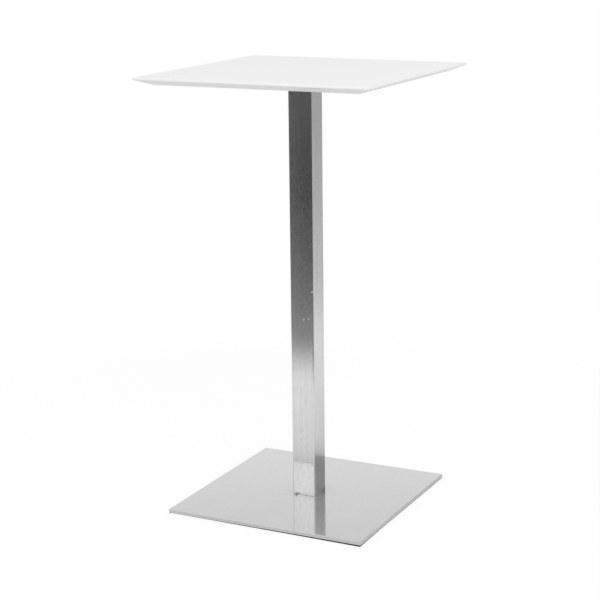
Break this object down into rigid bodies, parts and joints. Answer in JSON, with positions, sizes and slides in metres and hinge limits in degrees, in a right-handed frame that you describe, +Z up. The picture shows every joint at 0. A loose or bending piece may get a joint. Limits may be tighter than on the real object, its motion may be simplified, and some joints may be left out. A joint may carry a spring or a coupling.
{
  "type": "pub table",
  "caption": "Bar-height pub table: square white bevelled board on a square brushed steel column and a flat square base with levelling feet.",
  "frame": {"origin": "on the floor, under the middle of the column, at the underside of the levelling pads", "axes": "+Z up along the column; X and Y along the edges of the board and the base, with -Y the side called front"},
  "size_m": [0.6, 0.6, 1.08],
  "materials": {
    "white_lacquer": "satin white lacquer on fibreboard",
    "brass": "turned brass",
    "black_powder_coat": "black powder coat on steel",
    "zinc_plate": "bright zinc plate on steel",
    "plain_steel": "plain mill steel",
    "brushed_stainless": "fine brushed stainless steel",
    "grey_rubber": "matt grey rubber",
    "grey_primer": "dark grey primer on steel",
    "stud_steel": "zinc plate on steel",
    "black_nylon": "moulded black nylon"
  },
  "bodies": {
    "table": {"table_top": "white_lacquer", "top_insert_nuts": "brass", "top_mounting_plate": "black_powder_coat", "top_plate_screws": "zinc_plate", "top_plate_washers": "zinc_plate", "column_head_screws": "zinc_plate", "base_screws": "zinc_plate", "column_head_plate": "plain_steel", "column_foot_plate": "plain_steel", "column_tube": "brushed_stainless", "base_cover": "brushed_stainless", "column_foot_gasket": "grey_rubber", "base_weight_plate": "grey_primer"},
    "glide_pad_front_left": {"glide_pad_front_left": "black_nylon"},
    "glide_stud_front_left": {"glide_stud_front_left": "stud_steel"},
    "glide_pad_front_right": {"glide_pad_front_right": "black_nylon"},
    "glide_stud_front_right": {"glide_stud_front_right": "stud_steel"},
    "glide_pad_back_left": {"glide_pad_back_left": "black_nylon"},
    "glide_stud_back_left": {"glide_stud_back_left": "stud_steel"},
    "glide_pad_back_right": {"glide_pad_back_right": "black_nylon"},
    "glide_stud_back_right": {"glide_stud_back_right": "stud_steel"}
  },
  "joints": [
    {"name": "glide_travel_front_left", "type": "slide", "parent": "table", "child": "glide_pad_front_left", "axis": [0, 0, -1], "range_m": [0, 0.003]},
    {"name": "glide_turn_front_left", "type": "hinge", "parent": "glide_pad_front_left", "child": "glide_stud_front_left", "pos_m": [-0.216, -0.216, 0.005], "axis": [0, 0, -1], "range_deg": [0, 865]},
    {"name": "glide_travel_front_right", "type": "slide", "parent": "table", "child": "glide_pad_front_right", "axis": [0, 0, -1], "range_m": [0, 0.003]},
    {"name": "glide_turn_front_right", "type": "hinge", "parent": "glide_pad_front_right", "child": "glide_stud_front_right", "pos_m": [0.216, -0.216, 0.005], "axis": [0, 0, -1], "range_deg": [0, 865]},
    {"name": "glide_travel_back_left", "type": "slide", "parent": "table", "child": "glide_pad_back_left", "axis": [0, 0, -1], "range_m": [0, 0.003]},
    {"name": "glide_turn_back_left", "type": "hinge", "parent": "glide_pad_back_left", "child": "glide_stud_back_left", "pos_m": [-0.216, 0.216, 0.005], "axis": [0, 0, -1], "range_deg": [0, 865]},
    {"name": "glide_travel_back_right", "type": "slide", "parent": "table", "child": "glide_pad_back_right", "axis": [0, 0, -1], "range_m": [0, 0.003]},
    {"name": "glide_turn_back_right", "type": "hinge", "parent": "glide_pad_back_right", "child": "glide_stud_back_right", "pos_m": [0.216, 0.216, 0.005], "axis": [0, 0, -1], "range_deg": [0, 865]}
  ],
  "couplings": [
    {"joint": "glide_turn_front_left", "follows": "glide_travel_front_left", "rad_per_m": 5026.5},
    {"joint": "glide_turn_front_right", "follows": "glide_travel_front_right", "rad_per_m": 5026.5},
    {"joint": "glide_turn_back_left", "follows": "glide_travel_back_left", "rad_per_m": 5026.5},
    {"joint": "glide_turn_back_right", "follows": "glide_travel_back_right", "rad_per_m": 5026.5}
  ]
}
